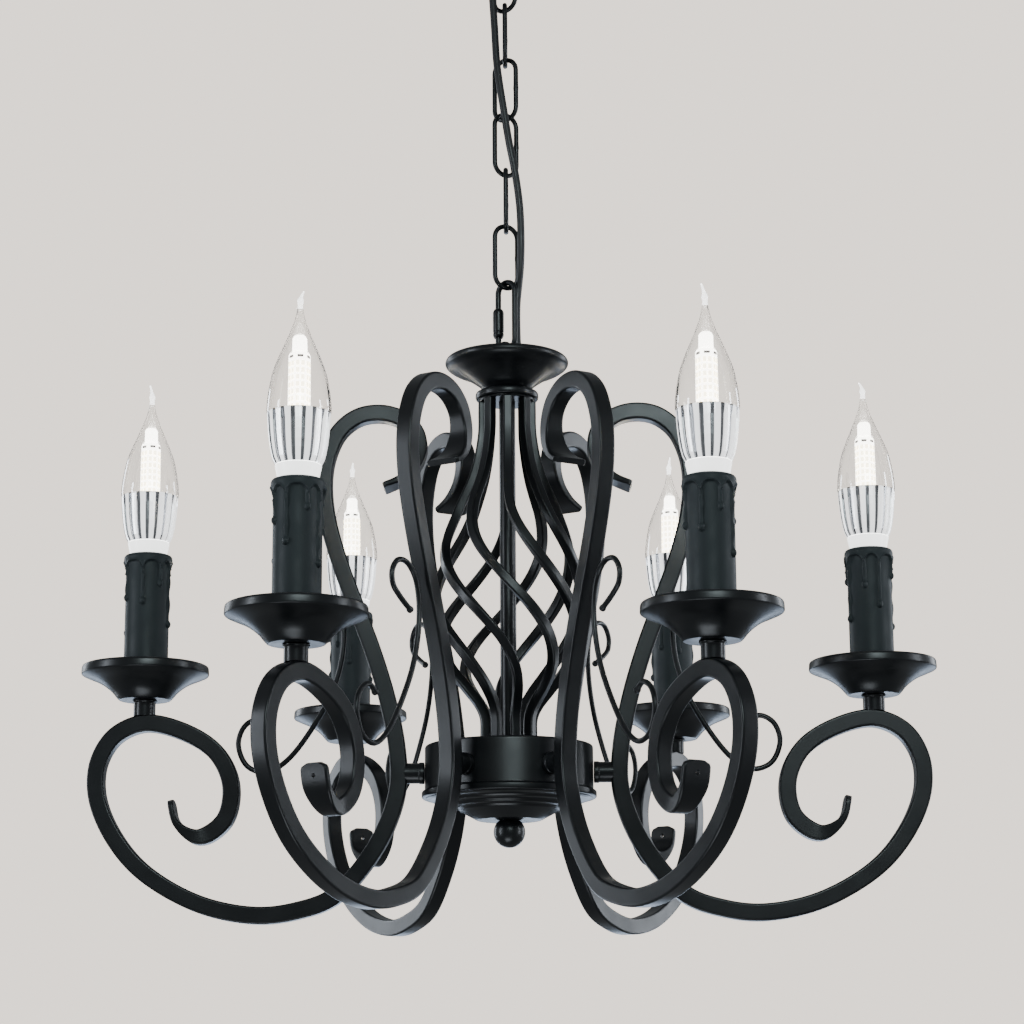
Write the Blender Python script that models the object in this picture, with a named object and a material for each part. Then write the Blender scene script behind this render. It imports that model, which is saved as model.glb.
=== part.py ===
"""Six-arm wrought-iron candle chandelier, hung on a chain from a ceiling canopy.

Metres, +Z up. The origin is the middle of the mounting bracket's top face, where it meets the
ceiling. Outlines are in millimetres: a height is counted from the plane of the drip pans' rims.
"""

from math import cos, pi, radians, sin

import bmesh
import bpy
from mathutils import Matrix, Vector

MM = 0.001
GAP = 0.3  # clearance between pieces that touch, in millimetres

# Driving dimensions, in millimetres
RIM_DROP = 560.0  # ceiling down to the plane of the pan rims
ARM_COUNT = 6
ARM_REACH = 235.0  # centre axis to each candle
BAR_SIZE = 11.0
STEM_RADIUS = 7.0  # of the stem that carries a pan
SPACER_RADIUS = 7.0  # of the tube between the hub and an arm
NIPPLE_RADIUS = 3.5
HUB_RADIUS = 54.0
HUB_TOP = -50.4
HUB_BOTTOM = -84.0
COVER_BOTTOM = -98.0
ARM_TUBE_HEIGHT = -67.4
SCROLL_WIRE = 3.5
PAN_RADIUS = 41.0
PAN_FLOOR = -14.0
PAN_BOTTOM = -19.0
SLEEVE_RADIUS = 14.5
SLEEVE_TOP = 76.5
CAP_RADIUS = 7.0
BULB_TIP = 191.0
TUBE_RADIUS = 5.3
TUBE_BORE = 4.3
BOWL_BOTTOM = 186.0
BOWL_FLOOR = 190.5
CAGE_BARS = 8
CAGE_BAR_SIZE = 6.0
CAGE_TWIST = 104.0  # degrees, over the whole height
CAGE_FIRST_BAR = -88.0  # degrees, at the collar
COLLAR_RADIUS = 20.8
COLLAR_BOTTOM = 178.5
LINK_LENGTH = 46.6
LINK_WIDTH = 20.0
LINK_WIRE = 3.3
LINK_TURNS = (-30.0, 90.0, -30.0, 30.0, 90.0, 27.0)  # degrees about Z, from the top link down
QUICK_LENGTH = 51.5
QUICK_WIDTH = 18.0
QUICK_WIRE = 4.0
QUICK_TURN = -38.0
QUICK_NUT_LENGTH = 20.0
QUICK_NUT_DROP = 3.8  # centre of the nut below the middle of the quick link
QUICK_GAP = (1.8, 5.8)  # the gap that the nut closes, above the middle
LOOP_WIRE = 4.0
EYE_RADIUS = 10.0  # outer radius of the top loop
CANOPY_RADIUS = 55.0
CANOPY_DEPTH = 32.7
CANOPY_WALL = 1.6
CANOPY_RING_RADIUS = 12.0  # outer radius of the canopy loop's ring
LOOP_COLLAR_LENGTH = 12.0
RING_IN_COLLAR = 2.4  # how far the ring is sunk in the collar
STUD_RADIUS = 5.0
CORD_RADIUS = 2.5
CORD_ENTRY = (9.2, 2.0)  # where the cord goes through the bowl's floor
CORD_EXIT = (-18.0, 0.0)  # where it goes through the canopy's floor
CORD_SEAM = 470.0  # height at which the lower stretch hands over to the upper one

# Heights that follow from the chain, top to bottom
RING_TOP = RIM_DROP - CANOPY_DEPTH - GAP - LOOP_COLLAR_LENGTH + RING_IN_COLLAR
RING_BOTTOM = RING_TOP - 2 * CANOPY_RING_RADIUS
LINK_STEP = LINK_LENGTH - 2 * LINK_WIRE - GAP
TOP_LINK_TOP = RING_BOTTOM + LOOP_WIRE + GAP + LINK_WIRE
CHAIN_BOTTOM = TOP_LINK_TOP - LINK_LENGTH - (len(LINK_TURNS) - 1) * LINK_STEP
QUICK_TOP = CHAIN_BOTTOM + LINK_WIRE + GAP + QUICK_WIRE
QUICK_BOTTOM = QUICK_TOP - QUICK_LENGTH
QUICK_MIDDLE = (QUICK_TOP + QUICK_BOTTOM) / 2
QUICK_LEG = (QUICK_WIDTH - QUICK_WIRE) / 2  # its middle to the centre line of each leg
NUT_SPOT = (
    -QUICK_LEG * cos(radians(QUICK_TURN)),
    -QUICK_LEG * sin(radians(QUICK_TURN)),
    QUICK_MIDDLE - QUICK_NUT_DROP,
)
EYE_TOP = QUICK_BOTTOM + QUICK_WIRE + GAP + LOOP_WIRE
CHAIN_PIVOT = RING_BOTTOM + LOOP_WIRE / 2
FIXTURE_PIVOT = QUICK_BOTTOM + QUICK_WIRE / 2

# Centre line of an arm: (distance from the axis, height)
ARM_LINE = (
    (81, 120.5), (69.5, 126), (61, 134.5), (57.5, 146.5), (60.5, 158.5), (69.5, 167), (82.5, 171),
    (97.5, 169), (110, 159.5), (117.5, 144), (120.3, 126), (118, 101), (109, 69), (97, 37), (87, 10),
    (78, -20), (72, -50), (71, -75), (77, -98), (90, -122), (112, -146), (135, -154.5),
    (160, -157.3), (193, -151.3), (222.5, -137), (242, -121), (258, -97.5), (264.5, -77),
    (263, -58), (253, -42), (234, -34), (206, -41), (187, -54.5), (178, -75), (182, -97),
    (198, -107.5), (212, -99), (216.5, -84),
)
# Centre line of the wire scroll beside each arm, in the arm's plane
SCROLL_LINE = (
    (153, -36.7), (161, -31.5), (170, -36), (174, -48), (168, -62), (156, -66), (142, -58),
    (119, -25), (111, -6), (107, 14), (107.5, 30), (112, 42), (121, 49), (131, 48.5), (137, 41),
    (136, 33), (129, 27), (115, 19),
)
# Path of the power cord: (x, y, height), from the bowl up to the terminal block
CORD_LINE = (
    (9.2, 2.0, 187), (9.2, 2.0, 194), (8.6, 1.6, 203), (7.4, 0.9, 214), (6.8, 0.6, 230),
    (7.0, 0.6, 247), (8.0, 0.2, 257), (9.3, -2.4, 269), (9.9, -3.9, 281), (10.0, -4.6, 294),
    (9.3, -5.4, 313), (6.6, -6.6, 335), (2.4, -7.4, 358), (-1.0, -7.4, 381), (-3.6, -6.6, 399),
    (-5.6, -5.4, 416), (-7.2, -3.6, 446), (-8.8, -2.4, 470), (-10.8, -2.4, 487),
    (-14.4, -1.6, 502), (-17.4, -0.3, 515), (-18.0, 0.0, 524), (-18.0, 0.0, 532),
    (-18.0, 0.0, 542),
)


# Building blocks


def clear_scene():
    for old in list(bpy.data.objects):
        bpy.data.objects.remove(old)


def make_material(name, colour, roughness, metallic=0.0, transmission=0.0):
    material = bpy.data.materials.new(name)
    material.use_nodes = True
    shader = material.node_tree.nodes["Principled BSDF"]
    shader.inputs["Base Color"].default_value = (*colour, 1)
    shader.inputs["Roughness"].default_value = roughness
    shader.inputs["Metallic"].default_value = metallic
    shader.inputs["Transmission Weight"].default_value = transmission
    return material


def add_pivot(name, height, x=0.0, y=0.0):
    """An empty on a joint's axis, the parent of what that joint moves."""
    pivot = bpy.data.objects.new(name, None)
    pivot.location = Vector((x, y, height - RIM_DROP)) * MM
    bpy.context.scene.collection.objects.link(pivot)
    return pivot


def add_object(name, mesh, material, parent, spot=(0, 0, 0), turn=0.0):
    """Adds a mesh whose own origin goes to spot: x, y and height, in millimetres."""
    piece = bpy.data.objects.new(name, mesh)
    if not mesh.materials:
        mesh.materials.append(material)
    mesh.shade_smooth()
    mesh.set_sharp_from_angle(angle=radians(40))
    x, y, height = spot
    piece.parent = parent
    piece.location = Vector((x, y, height - RIM_DROP)) * MM - parent.location
    piece.rotation_euler.z = radians(turn)
    bpy.context.scene.collection.objects.link(piece)
    return piece


def mesh_from_rings(rings, loop=False):
    """One closed skin over rings of points: ends capped, or joined up if it is a loop.

    A ring of a single point is a pole.
    """
    skin = bmesh.new()
    rows = [[skin.verts.new(Vector(point) * MM) for point in ring] for ring in rings]
    pairs = list(zip(rows, rows[1:]))
    if loop:
        pairs.append((rows[-1], rows[0]))
    for near, far in pairs:
        count = max(len(near), len(far))
        for i in range(count):
            j = (i + 1) % count
            corners = [near[i % len(near)], near[j % len(near)], far[j % len(far)], far[i % len(far)]]
            skin.faces.new(list(dict.fromkeys(corners)))
    if not loop:
        for end in (rows[0], rows[-1]):
            if len(end) > 2:
                skin.faces.new(end)
    bmesh.ops.recalc_face_normals(skin, faces=skin.faces)
    mesh = bpy.data.meshes.new("skin")
    skin.to_mesh(mesh)
    skin.free()
    return mesh


def around(count):
    """Angles evenly round a circle."""
    return [2 * pi * i / count for i in range(count)]


def turned(outline, sides):
    """A turned solid. A closed outline clear of the axis makes a hollow piece."""
    rings = []
    for radius, height in outline:
        if radius == 0:
            rings.append([(0, 0, height)])
            continue
        rings.append([(radius * cos(a), radius * sin(a), height) for a in around(sides)])
    return mesh_from_rings(rings, loop=outline[0][0] > 0)


def smooth_line(points, steps):
    """Points along a smooth curve through the given ones, with steps per stretch."""
    knots = [Vector(point) for point in points]
    knots = [2 * knots[0] - knots[1], *knots, 2 * knots[-1] - knots[-2]]
    line = []
    for a, b, c, d in zip(knots, knots[1:], knots[2:], knots[3:]):
        first = (b - a).length ** 0.5
        middle = (c - b).length ** 0.5
        last = (d - c).length ** 0.5
        leave = (c - b) + middle * ((b - a) / first - (c - a) / (first + middle))
        arrive = (c - b) + middle * ((d - c) / last - (d - b) / (middle + last))
        for i in range(steps):
            t = i / steps
            line.append(
                (2 * t**3 - 3 * t**2 + 1) * b
                + (t**3 - 2 * t**2 + t) * leave
                + (3 * t**2 - 2 * t**3) * c
                + (t**3 - t**2) * arrive
            )
    line.append(knots[-2])
    return line


def thinned(line, turn):
    """The line's points, without those between which it bends less than turn degrees."""
    ways = directions(line)
    kept = [line[0]]
    way = ways[0]
    for point, here in zip(line[1:-1], ways[1:-1]):
        if here.angle(way) > radians(turn):
            kept.append(point)
            way = here
    return [*kept, line[-1]]


def directions(line):
    """The unit direction of the line at each of its points."""
    before = [line[0], *line[:-1]]
    after = [*line[1:], line[-1]]
    return [(b - a).normalized() for a, b in zip(before, after)]


def swept_in_plane(line, half_thickness, half_width, sides):
    """A bar along a line of (distance, height) points, in the plane y = 0.

    half_thickness and half_width give the half sizes in and across the plane, from 0 at the
    start of the line to 1 at its end. Four sides make a square bar, more make a round one.
    """
    rings = []
    last = len(line) - 1
    corner = 2**0.5 if sides == 4 else 1.0
    for i, (point, along) in enumerate(zip(line, directions(line))):
        across = Vector((-along.y, along.x))
        ring = []
        for k in range(sides):
            angle = 2 * pi * (k + 0.5) / sides
            shift = corner * cos(angle) * half_thickness(i / last)
            side = corner * sin(angle) * half_width(i / last)
            spot = point + across * shift
            ring.append((spot.x, side, spot.y))
        rings.append(ring)
    return mesh_from_rings(rings)


def oval_loop(length, width, wire, sides, steps):
    """The rings of a closed oval of round wire in the plane y = 0, its middle at the origin."""
    radius = (width - wire) / 2
    straight = (length - width) / 2
    rings = []
    for i in range(2 * steps):
        angle = 2 * pi * (i + 0.5) / (2 * steps)
        outward = Vector((cos(angle), 0, sin(angle)))
        middle = outward * radius + Vector((0, 0, straight if sin(angle) > 0 else -straight))
        ring = []
        for k in range(sides):
            turn = 2 * pi * k / sides
            ring.append(middle + outward * (wire / 2 * cos(turn)) + Vector((0, wire / 2 * sin(turn), 0)))
        rings.append(ring)
    return rings


def cylinder(radius, start, end, sides):
    """A solid round bar between two points, all in millimetres."""
    start, end = Vector(start), Vector(end)
    turn = Vector((0, 0, 1)).rotation_difference(end - start).to_matrix()
    circle = [turn @ Vector((radius * cos(a), radius * sin(a), 0)) for a in around(sides)]
    return mesh_from_rings([[start + point for point in circle], [end + point for point in circle]])


def plate(half_length, half_width, low, high):
    """A block around the axis, from one height to another."""
    corners = [(x * half_length, y * half_width) for x, y in ((-1, -1), (1, -1), (1, 1), (-1, 1))]
    return mesh_from_rings([[(x, y, height) for x, y in corners] for height in (low, high)])


def combined(operation, base, *others):
    """One mesh made from the base and the others by a Boolean."""
    helpers = []
    for mesh in (base, *others):
        helper = bpy.data.objects.new("helper", mesh)
        bpy.context.scene.collection.objects.link(helper)
        helpers.append(helper)
    for other in helpers[1:]:
        boolean = helpers[0].modifiers.new("join", "BOOLEAN")
        boolean.operation = operation
        boolean.object = other
    graph = bpy.context.evaluated_depsgraph_get()
    result = bpy.data.meshes.new_from_object(helpers[0].evaluated_get(graph))
    for helper in helpers:
        bpy.data.objects.remove(helper)
    return result


# Ceiling end


def add_ceiling_end(root, steel, rubber, plastic):
    strip_thickness = 2.5
    screw_radius = 2.4
    screw_reach = 36.0
    strip = plate(48.0, 9.0, -strip_thickness, 0)
    for side in (-screw_reach, screw_reach):
        strip = combined("DIFFERENCE", strip, cylinder(screw_radius, (side, 0, -5), (side, 0, 2), 10))
    stud = cylinder(STUD_RADIUS, (0, 0, -41.5), (0, 0, -1.0), 16)
    add_object("mounting_bracket", combined("UNION", strip, stud), steel, root, (0, 0, RIM_DROP))

    hole = STUD_RADIUS + GAP
    floor = -CANOPY_DEPTH
    canopy_outline = (
        (hole, floor), (27, floor), (41, -28), (51, -18), (CANOPY_RADIUS, -4), (CANOPY_RADIUS, -GAP),
        (CANOPY_RADIUS - CANOPY_WALL, -GAP), (CANOPY_RADIUS - CANOPY_WALL, -4),
        (51 - CANOPY_WALL, -18 + 0.8), (41 - 0.8, -28 + CANOPY_WALL), (27, floor + CANOPY_WALL),
        (hole, floor + CANOPY_WALL),
    )
    drill = cylinder(4.4, (*CORD_EXIT, floor - 3), (*CORD_EXIT, floor + 5), 12)
    canopy = combined("DIFFERENCE", turned(canopy_outline, 24), drill)
    add_object("ceiling_canopy", canopy, steel, root, (0, 0, RIM_DROP))

    nut_low = floor + CANOPY_WALL + GAP
    hexagon = turned(((hole, nut_low), (8.5, nut_low), (8.5, nut_low + 6), (hole, nut_low + 6)), 12)
    add_object("canopy_lock_nut", hexagon, steel, root, (0, 0, RIM_DROP))

    bore = CORD_RADIUS + GAP
    grommet_outline = (
        (bore, floor - 2), (5.6, floor - 2), (5.6, floor - GAP), (4.1, floor - GAP),
        (4.1, floor + CANOPY_WALL + GAP), (5.6, floor + CANOPY_WALL + GAP),
        (5.6, floor + CANOPY_WALL + 2), (bore, floor + CANOPY_WALL + 2),
    )
    add_object("cord_grommet", turned(grommet_outline, 12), rubber, root, (*CORD_EXIT, RIM_DROP))

    block_top = -strip_thickness - GAP
    block_low = CORD_LINE[-1][2] + GAP - RIM_DROP
    block = plate(11.0, 8.0, block_low, block_top)
    add_object("terminal_block", block, plastic, root, (*CORD_EXIT, RIM_DROP))

    collar_top = floor - GAP
    collar_low = collar_top - LOOP_COLLAR_LENGTH
    collar = turned(
        (
            (0, collar_low), (7.0, collar_low), (8.5, collar_low + 2), (8.5, collar_top),
            (hole, collar_top), (hole, -42.0), (0, -42.0),
        ),
        16,
    )
    ring_middle = RING_BOTTOM - RIM_DROP + CANOPY_RING_RADIUS
    ring = mesh_from_rings(oval_loop(2 * CANOPY_RING_RADIUS, 2 * CANOPY_RING_RADIUS, LOOP_WIRE, 6, 9), True)
    ring.transform(Matrix.Translation((0, 0, ring_middle * MM)))
    add_object(
        "canopy_loop", combined("UNION", collar, ring), steel, root, (0, 0, RIM_DROP), QUICK_TURN + 90
    )


# Chain, quick link and cord


def add_chain(chain, steel):
    link = mesh_from_rings(oval_loop(LINK_LENGTH, LINK_WIDTH, LINK_WIRE, 6, 7), True)
    for i, turn in enumerate(LINK_TURNS):
        middle = TOP_LINK_TOP - LINK_LENGTH / 2 - i * LINK_STEP
        add_object(f"chain_link_{i + 1}", link, steel, chain, (0, 0, middle), turn)


def add_quick_link(chain, nut_slide, steel):
    """An oval with a gap in its left leg, which a long nut closes."""
    oval = mesh_from_rings(oval_loop(QUICK_LENGTH, QUICK_WIDTH, QUICK_WIRE, 8, 8), True)
    saw = cylinder(QUICK_WIRE, (-QUICK_LEG, 0, QUICK_GAP[0]), (-QUICK_LEG, 0, QUICK_GAP[1]), 8)
    open_link = combined("DIFFERENCE", oval, saw)
    add_object("quick_link", open_link, steel, chain, (0, 0, QUICK_MIDDLE), QUICK_TURN)

    bore = QUICK_WIRE / 2 + GAP
    half = QUICK_NUT_LENGTH / 2
    outline = (
        (bore, -half), (2.9, -half), (3.7, -half + 2), (3.7, half - 2), (2.9, half), (bore, half),
    )
    add_object("quick_link_nut", turned(outline, 12), steel, nut_slide, NUT_SPOT)


def add_cord(chain, rubber):
    """One cord in two stretches that meet above the fourth link of the chain."""
    line = smooth_line(CORD_LINE, 2)
    lower = [point for point in line if point.z <= CORD_SEAM]
    upper = [Vector(lower[-1]) + Vector((0, 0, GAP)), *[p for p in line if p.z > CORD_SEAM]]
    for name, stretch in (("power_cord", lower), ("power_cord_top", upper)):
        curve = bpy.data.curves.new(name, "CURVE")
        curve.dimensions = "3D"
        curve.bevel_depth = CORD_RADIUS * MM
        curve.bevel_resolution = 2
        curve.use_fill_caps = True
        spline = curve.splines.new("POLY")
        spline.points.add(len(stretch) - 1)
        for spot, point in zip(spline.points, stretch):
            spot.co = (*(point - Vector((0, 0, RIM_DROP))) * MM - chain.location, 1)
        cord = bpy.data.objects.new(name, curve)
        curve.materials.append(rubber)
        cord.parent = chain
        bpy.context.scene.collection.objects.link(cord)


# Middle of the fixture


def add_top_bowl(fixture, steel):
    hole = TUBE_RADIUS + GAP
    outline = (
        (hole, BOWL_BOTTOM), (14.7, BOWL_BOTTOM), (19, 190), (27, 196), (36.5, 200.5), (40.2, 203),
        (41, 205.5), (39.6, 208), (36.8, 207.5), (27, 201.5), (19, 195.5), (13.4, BOWL_FLOOR),
        (hole, BOWL_FLOOR),
    )
    drill = cylinder(
        CORD_RADIUS + 0.5, (*CORD_ENTRY, BOWL_BOTTOM - 3), (*CORD_ENTRY, BOWL_FLOOR + 3), 12
    )
    bowl = combined("DIFFERENCE", turned(outline, 24), drill)
    add_object("top_bowl", bowl, steel, fixture)


def add_top_loop(fixture, steel):
    """The screw eye in the top of the centre tube, with a flange on the bowl's floor."""
    stem = TUBE_BORE - GAP
    flange = BOWL_FLOOR + GAP
    middle = EYE_TOP - EYE_RADIUS
    shank = turned(
        (
            (0, flange - 18), (stem, flange - 18), (stem, flange), (6.4, flange), (6.4, flange + 2.5),
            (stem, flange + 4), (stem, middle - EYE_RADIUS + 2), (0, middle - EYE_RADIUS + 2),
        ),
        12,
    )
    ring = mesh_from_rings(oval_loop(2 * EYE_RADIUS, 2 * EYE_RADIUS, LOOP_WIRE, 6, 9), True)
    ring.transform(Matrix.Translation((0, 0, middle * MM)))
    add_object("top_loop", combined("UNION", shank, ring), steel, fixture, turn=QUICK_TURN + 90)


def add_collar(fixture, steel):
    hole = TUBE_RADIUS + GAP
    top = BOWL_BOTTOM - GAP
    middle = (top + COLLAR_BOTTOM) / 2
    outline = (
        (hole, COLLAR_BOTTOM), (19, COLLAR_BOTTOM), (COLLAR_RADIUS, middle - 1.5),
        (COLLAR_RADIUS, middle + 1.5), (19, top), (hole, top),
    )
    add_object("cage_collar", turned(outline, 20), steel, fixture)


def cage_radius(height):
    """How far the cage's bars stand from the axis at a height."""
    swell = (
        (175, 16), (155, 16.5), (130, 21.5), (105, 32), (75, 43), (45, 47), (20, 45), (0, 37),
        (-14, 27), (-24, 19.5), (-32, 16), (-46, 15.5),
    )
    for (high, wide), (low, narrow) in zip(swell, swell[1:]):
        if height >= low:
            share = min(max((height - low) / (high - low), 0), 1)
            return narrow + (wide - narrow) * share
    return swell[-1][1]


def cage_angle(height):
    """How far a bar has turned about the axis on its way down from the collar, in degrees."""
    share = min(max((112.0 - height) / 140.0, 0), 1)
    return CAGE_TWIST * share * share * (3 - 2 * share)


def add_cage(fixture, steel):
    top = COLLAR_BOTTOM - GAP
    ring_low = HUB_TOP + GAP
    bottom = ring_low + 1.0
    heights = (top, 155, 142, 130, 118, 105, 90, 75, 60, 45, 32, 20, 9, 0, -8, -15, -22, -28, -34, bottom)
    half = CAGE_BAR_SIZE / 2
    bars = []
    for bar in range(CAGE_BARS):
        rings = []
        line = []
        for height in heights:
            angle = radians(CAGE_FIRST_BAR + bar * 360 / CAGE_BARS + cage_angle(height))
            radius = cage_radius(height)
            line.append(Vector((radius * cos(angle), radius * sin(angle), height)))
        for point, along in zip(line, directions(line)):
            outward = Vector((point.x, point.y, 0))
            outward = (outward - along * outward.dot(along)).normalized()
            sideways = along.cross(outward)
            out, side = outward * half, sideways * half
            rings.append([point + out + side, point - out + side, point - out - side, point + out - side])
        bars.append(mesh_from_rings(rings))
    ring = turned(((11, ring_low), (20, ring_low), (20, ring_low + 3), (11, ring_low + 3)), 24)
    add_object("twisted_cage", combined("UNION", ring, *bars), steel, fixture)


def add_hub(fixture, steel):
    hole = TUBE_RADIUS + GAP
    inner = HUB_RADIUS - 2
    flange = HUB_BOTTOM + 4.6
    drum_outline = (
        (hole, HUB_TOP), (HUB_RADIUS - 1.5, HUB_TOP), (HUB_RADIUS, HUB_TOP - 1.5), (HUB_RADIUS, flange),
        (HUB_RADIUS + 2, flange - 1), (HUB_RADIUS + 2, HUB_BOTTOM), (inner, HUB_BOTTOM),
        (inner, HUB_TOP - 2), (hole, HUB_TOP - 2),
    )
    add_object("hub_drum", turned(drum_outline, 24), steel, fixture)

    top = HUB_BOTTOM - GAP
    hole = TUBE_BORE
    cover_outline = (
        (hole, COVER_BOTTOM), (20.5, COVER_BOTTOM), (32, -91.8), (33, -90.2), (38, -89.8), (39, -87.8),
        (44, -87.2), (45, -85.6), (51, -85.2), (HUB_RADIUS, top), (49, top), (43, -85), (37, -88),
        (31, -89.8), (20, -95.8), (hole, -95.8),
    )
    add_object("hub_cover", turned(cover_outline, 24), steel, fixture)

    ball = 10.2
    neck_top = COVER_BOTTOM - GAP
    middle = neck_top - 7.0
    stem = TUBE_BORE - GAP
    arc = [(ball * sin(radians(a)), middle - ball * cos(radians(a))) for a in range(24, 125, 20)]
    finial_outline = ((0, middle - ball), *arc, (6.9, neck_top), (stem, neck_top), (stem, -62), (0, -62))
    add_object("finial", turned(finial_outline, 12), steel, fixture)

    tube_outline = (
        (TUBE_BORE, HUB_BOTTOM + 2), (TUBE_RADIUS, HUB_BOTTOM + 2), (TUBE_RADIUS, BOWL_FLOOR),
        (TUBE_BORE, BOWL_FLOOR),
    )
    add_object("centre_tube", turned(tube_outline, 12), steel, fixture)


# Arms and candles


def hammered(share, plain, upper_tip, lower_tip):
    """A half size that runs plain along the bar and changes to a tip value at each end."""
    reach = 0.05
    near_end = max(0.0, 1 - min(share, 1 - share) / reach)
    tip = upper_tip if share < 0.5 else lower_tip
    return plain + (tip - plain) * near_end


def arm_mesh():
    line = thinned(smooth_line(ARM_LINE, 6), 16)
    half = BAR_SIZE / 2
    thickness = 2.2
    bar = swept_in_plane(
        line,
        lambda share: hammered(share, half, thickness, thickness),
        lambda share: hammered(share, half, 12.2, 9.3),
        4,
    )
    leg = 71.5
    tube = cylinder(
        SPACER_RADIUS, (HUB_RADIUS + GAP, 0, ARM_TUBE_HEIGHT), (leg, 0, ARM_TUBE_HEIGHT), 12
    )
    stem_outline = (
        (0, -34), (STEM_RADIUS, -34), (STEM_RADIUS, PAN_BOTTOM - GAP), (NIPPLE_RADIUS, PAN_BOTTOM - GAP),
        (NIPPLE_RADIUS, -5), (0, -5),
    )
    stem = turned(stem_outline, 12)
    stem.transform(Matrix.Translation((ARM_REACH * MM, 0, 0)))
    return combined("UNION", bar, tube, stem)


def scroll_mesh():
    half = SCROLL_WIRE / 2
    line = thinned(smooth_line(SCROLL_LINE, 6), 20)
    return swept_in_plane(line, lambda s: half, lambda s: half, 6)


def pan_mesh():
    hole = NIPPLE_RADIUS + GAP
    outline = (
        (hole, PAN_BOTTOM), (16.6, PAN_BOTTOM), (20, -14.5), (27, -8.5), (38.5, -3.5),
        (PAN_RADIUS, 0.5), (39, 3.5), (36, 3), (25, -4), (16, PAN_FLOOR),
        (hole, PAN_FLOOR),
    )
    return turned(outline, 16)


def lampholder_mesh():
    hole = NIPPLE_RADIUS + GAP
    low = PAN_FLOOR + GAP
    bore = CAP_RADIUS + 0.5
    outline = (
        (0, -3), (hole, -3), (hole, low), (9.5, low), (11.3, 32), (11.3, 66), (bore, 66), (bore, 44),
        (0, 44),
    )
    return turned(outline, 10)


def sleeve_mesh():
    low = PAN_FLOOR + GAP
    inner = 12.2
    outline = (
        (inner, low), (SLEEVE_RADIUS, low), (SLEEVE_RADIUS, SLEEVE_TOP - 2), (SLEEVE_RADIUS - 1, SLEEVE_TOP),
        (inner, SLEEVE_TOP),
    )
    return turned(outline, 14)


def bulb_mesh():
    """The bulb stands on the sleeve's top edge. Its heights are counted from that edge."""
    outline = (
        (0, -31), (CAP_RADIUS, -27), (CAP_RADIUS, -9), (11, -6), (11, GAP), (12, GAP), (13.8, 8.5),
        (17, 20), (18.7, 38), (18, 51), (15.8, 62), (9.2, 80), (3.4, 95), (1.6, 103),
        (0, BULB_TIP - SLEEVE_TOP),
    )
    return turned(outline, 12)


def add_arms(fixture, paint, plaster, plastic):
    meshes = (
        ("arm", arm_mesh(), paint, 0.0),
        ("scroll_wire", scroll_mesh(), paint, 0.0),
        ("drip_pan", pan_mesh(), paint, ARM_REACH),
        ("lampholder", lampholder_mesh(), plastic, ARM_REACH),
        ("candle_sleeve", sleeve_mesh(), plaster, ARM_REACH),
    )
    for arm in range(ARM_COUNT):
        turn = arm * 360 / ARM_COUNT
        for name, mesh, material, reach in meshes:
            spot = (reach * cos(radians(turn)), reach * sin(radians(turn)), 0)
            add_object(f"{name}_{arm + 1}", mesh, material, fixture, spot, turn)


def add_bulbs(fixture, glass):
    mesh = bulb_mesh()
    for arm in range(ARM_COUNT):
        turn = radians(arm * 360 / ARM_COUNT)
        spot = (ARM_REACH * cos(turn), ARM_REACH * sin(turn), SLEEVE_TOP)
        add_object(f"bulb_{arm + 1}", mesh, glass, fixture, spot)


def main():
    clear_scene()
    paint = make_material("black_iron", (0.012, 0.013, 0.014), 0.45)
    plaster = make_material("sleeve_grey", (0.03, 0.035, 0.037), 0.75)
    plastic = make_material("white_plastic", (0.75, 0.74, 0.7), 0.4)
    rubber = make_material("black_rubber", (0.01, 0.01, 0.01), 0.6)
    glass = make_material("bulb_glass", (0.95, 0.95, 0.95), 0.05, transmission=1.0)

    root = add_pivot("ceiling", RIM_DROP)
    chain = add_pivot("chain_pivot", CHAIN_PIVOT)
    fixture = add_pivot("fixture_pivot", FIXTURE_PIVOT)
    nut_slide = add_pivot("nut_pivot", NUT_SPOT[2], NUT_SPOT[0], NUT_SPOT[1])

    add_ceiling_end(root, paint, rubber, plastic)
    add_chain(chain, paint)
    add_quick_link(chain, nut_slide, paint)
    add_cord(chain, rubber)
    add_top_bowl(fixture, paint)
    add_top_loop(fixture, paint)
    add_collar(fixture, paint)
    add_cage(fixture, paint)
    add_hub(fixture, paint)
    add_arms(fixture, paint, plaster, plastic)
    add_bulbs(fixture, glass)


main()
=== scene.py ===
# The looks of the six-arm candle chandelier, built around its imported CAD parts.
#
# Outlines are in millimetres: (distance from the axis, height), with the corner's radius as a
# third number where `rounded` turns corners into arcs. A height is counted from the plane of the
# drip pans' rims, and a bulb's own heights from the top of its candle sleeve.

from math import cos, exp, pi, radians, sin, sqrt

import bmesh
import bpy
from mathutils import Matrix, Vector


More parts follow.
